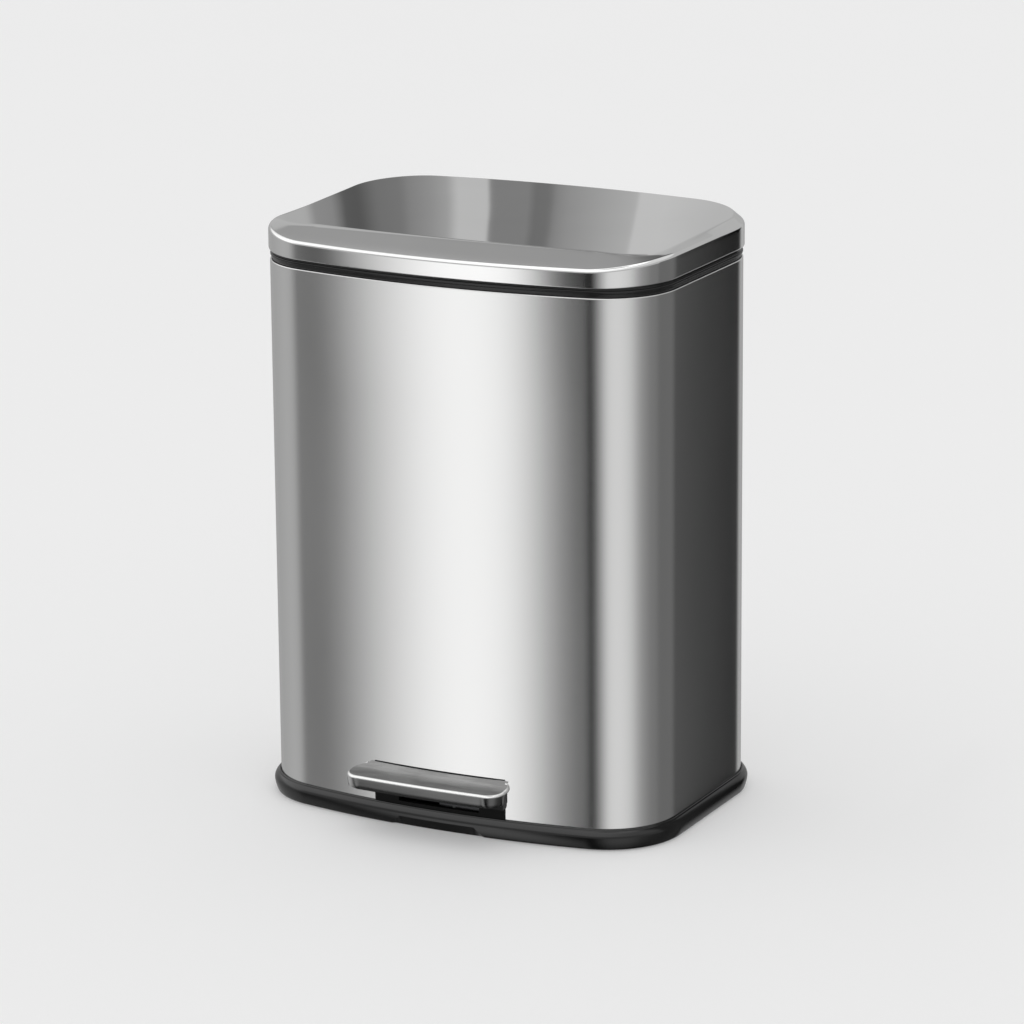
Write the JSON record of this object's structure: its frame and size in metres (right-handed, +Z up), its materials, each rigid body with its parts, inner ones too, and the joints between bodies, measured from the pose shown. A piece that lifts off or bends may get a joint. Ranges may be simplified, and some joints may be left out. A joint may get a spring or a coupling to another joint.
{
  "type": "pedal trash can",
  "caption": "Rectangular pedal bin with a bow-fronted brushed steel body, a hinged steel lid lifted by a push rod, a black base and a lift-out inner bucket.",
  "frame": {"origin": "on the floor under the middle of the bin's overall length and width, pedal and rear hinge included", "axes": "+Z up, +X to the right seen from the pedal side, -Y towards the person at the pedal"},
  "size_m": [0.361, 0.2872, 0.481],
  "materials": {
    "shell_steel": "satin brushed stainless steel",
    "lid_steel": "pressed and polished stainless steel",
    "pedal_steel": "pressed stainless steel, fine brushing across",
    "plain_steel": "zinc-plated steel",
    "fastener_steel": "plated screw steel",
    "base_plastic": "moulded black plastic with a low gloss",
    "rim_plastic": "moulded black plastic",
    "frame_plastic": "moulded black plastic",
    "pedal_plastic": "moulded black plastic, fine spark texture",
    "liner_plastic": "moulded black plastic",
    "bucket_plastic": "moulded dark grey plastic, fine spark texture",
    "rubber": "moulded rubber"
  },
  "bodies": {
    "can": {"outer_shell": "shell_steel", "base": "base_plastic", "pedal_slot_bezel": "frame_plastic", "pivot_bracket": "plain_steel", "pivot_pin": "plain_steel", "pivot_rivets": "fastener_steel", "lever_rest_pad": "rubber", "top_rim": "rim_plastic", "rod_bush": "frame_plastic", "rod_guide_lower": "frame_plastic", "rod_guide_upper": "frame_plastic", "hinge_housing": "frame_plastic", "hinge_pin": "plain_steel", "hinge_screws": "fastener_steel", "foot_front_left": "rubber", "foot_front_right": "rubber", "foot_rear_left": "rubber", "foot_rear_right": "rubber"},
    "lid": {"lid_cover": "lid_steel", "lid_liner": "liner_plastic", "lid_hinge_bracket": "frame_plastic", "bracket_screws": "fastener_steel", "lid_pad_left": "rubber", "lid_pad_right": "rubber"},
    "pedal": {"pedal_plate": "pedal_steel", "pedal_core": "pedal_plastic", "pedal_lever": "plain_steel", "pedal_screws": "fastener_steel"},
    "rod": {"push_rod": "plain_steel", "rod_clips": "fastener_steel"},
    "bucket": {"inner_bucket": "bucket_plastic"},
    "bail": {"bucket_bail": "plain_steel", "bail_grip": "frame_plastic"}
  },
  "joints": [
    {"name": "lid_hinge", "type": "hinge", "parent": "can", "child": "lid", "pos_m": [0, 0.138, 0.447], "axis": [-1, 0, 0], "range_deg": [0, 76]},
    {"name": "pedal_hinge", "type": "hinge", "parent": "can", "child": "pedal", "pos_m": [0, -0.0444, 0.027], "axis": [1, 0, 0], "range_deg": [0, 10.34]},
    {"name": "rod_slide", "type": "slide", "parent": "can", "child": "rod", "axis": [0, 0, 1], "range_m": [0, 0.02956]},
    {"name": "bucket_lift", "type": "slide", "parent": "can", "child": "bucket", "axis": [0, 0, 1], "range_m": [0, 0.012]},
    {"name": "bail_swing", "type": "hinge", "parent": "bucket", "child": "bail", "pos_m": [0, 0, 0.43], "axis": [-1, 0, 0], "range_deg": [0, 8]}
  ],
  "couplings": [
    {"joint": "rod_slide", "follows": "lid_hinge", "m_per_rad": 0.022279},
    {"joint": "pedal_hinge", "follows": "lid_hinge", "ratio": 0.1359}
  ]
}
